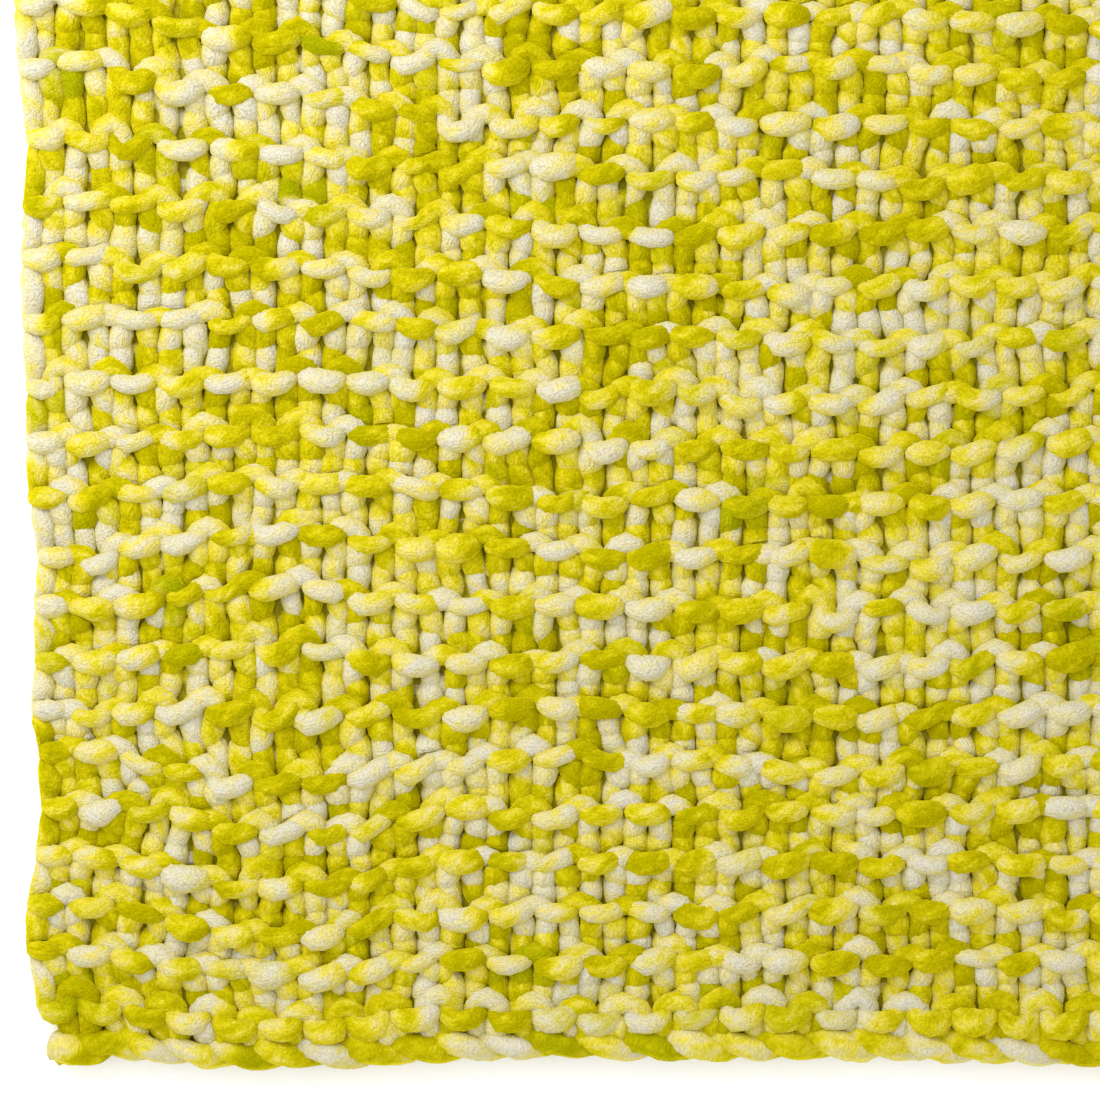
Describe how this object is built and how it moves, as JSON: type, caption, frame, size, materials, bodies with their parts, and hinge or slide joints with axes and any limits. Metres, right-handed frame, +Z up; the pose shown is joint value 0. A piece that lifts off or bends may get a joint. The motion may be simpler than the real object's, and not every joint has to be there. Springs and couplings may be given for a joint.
{
  "type": "knit blanket",
  "caption": "Small chunky garter-stitch knit blanket lying flat, with raised ridges across it, softly uneven side edges and chained, scalloped ends.",
  "frame": {"origin": "middle of the footprint, on the surface that the blanket lies on", "axes": "+X along the rows of stitches, +Y up the rows from the cast-on edge, +Z up, out of the face that shows"},
  "size_m": [0.7106, 0.7064, 0.0138],
  "materials": {
    "chenille_yarn": "soft velvety chenille pile, space-dyed in lime, pale yellow and cream"
  },
  "bodies": {
    "root": {"knit_cloth": "chenille_yarn"}
  },
  "joints": []
}
